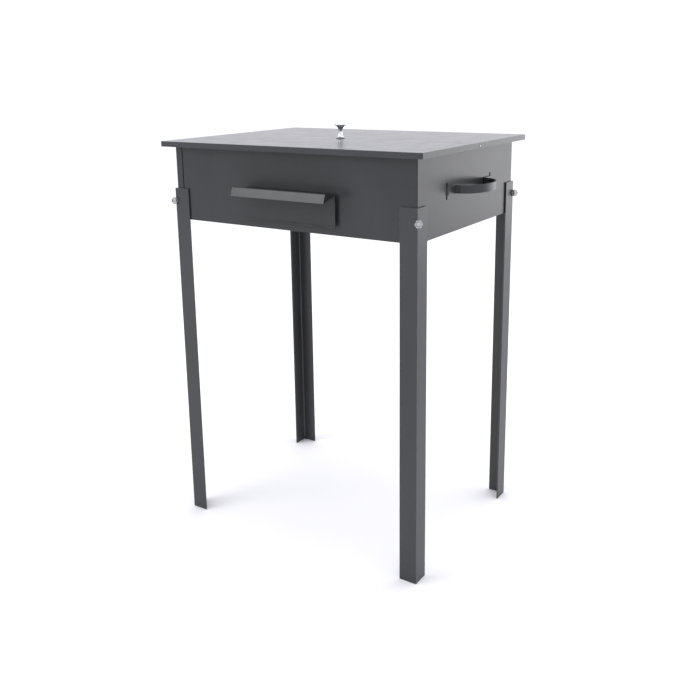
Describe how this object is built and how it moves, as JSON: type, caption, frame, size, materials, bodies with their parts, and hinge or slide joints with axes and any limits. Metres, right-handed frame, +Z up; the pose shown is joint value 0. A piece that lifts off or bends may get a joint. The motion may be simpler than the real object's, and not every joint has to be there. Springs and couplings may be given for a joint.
{
  "type": "coal forge",
  "caption": "Blacksmith coal forge: shallow covered sheet-metal fire box on angle-iron legs, with a lift-off knobbed lid, side handles, pull-out ash drawer, grate and rear air inlet.",
  "frame": {"origin": "on the floor, below the centre of the overall bounding box", "axes": "+Z up; the ash drawer opens towards -Y; +X is to the right of someone facing the drawer"},
  "size_m": [0.644, 0.493, 0.832],
  "materials": {
    "wall_paint": "semi-gloss graphite grey paint",
    "lid_paint": "semi-gloss graphite grey paint",
    "leg_paint": "semi-gloss graphite grey paint",
    "hearth_steel": "heat-darkened mill steel",
    "bare_steel": "plain mill steel",
    "grate_iron": "rough cast",
    "zinc": "zinc plated",
    "chrome": "polished chrome plate"
  },
  "bodies": {
    "forge_frame": {"wall_sheet_front_right": "wall_paint", "wall_sheet_back_left": "wall_paint", "floor_pan": "wall_paint", "hearth_pan": "hearth_steel", "grate": "grate_iron", "leg_front_right": "leg_paint", "leg_front_left": "leg_paint", "leg_back_left": "leg_paint", "leg_back_right": "leg_paint", "corner_brace_front_right": "bare_steel", "corner_brace_front_left": "bare_steel", "corner_brace_back_left": "bare_steel", "corner_brace_back_right": "bare_steel", "leg_bolt_front_right": "zinc", "leg_nut_front_right": "zinc", "leg_bolt_front_left": "zinc", "leg_nut_front_left": "zinc", "leg_bolt_back_left": "zinc", "leg_nut_back_left": "zinc", "leg_bolt_back_right": "zinc", "leg_nut_back_right": "zinc", "handle_right": "wall_paint", "handle_left": "wall_paint", "drawer_runner_left": "bare_steel", "drawer_runner_right": "bare_steel", "air_inlet": "wall_paint", "inlet_rivet_1": "zinc", "inlet_rivet_2": "zinc", "inlet_rivet_3": "zinc", "inlet_rivet_4": "zinc"},
    "lid": {"lid_pan": "lid_paint", "lid_knob": "chrome", "knob_washer": "zinc", "knob_screw": "zinc", "lid_guide_left": "bare_steel", "lid_guide_right": "bare_steel", "lid_rivet_left": "zinc", "lid_rivet_right": "zinc"},
    "drawer": {"drawer_front": "wall_paint", "drawer_tray": "bare_steel"}
  },
  "joints": [
    {"name": "lid_lift", "type": "slide", "parent": "forge_frame", "child": "lid", "axis": [0, 0, 1], "range_m": [0, 0.3]},
    {"name": "drawer_slide", "type": "slide", "parent": "forge_frame", "child": "drawer", "axis": [0, -1, 0], "range_m": [0, 0.25]}
  ]
}
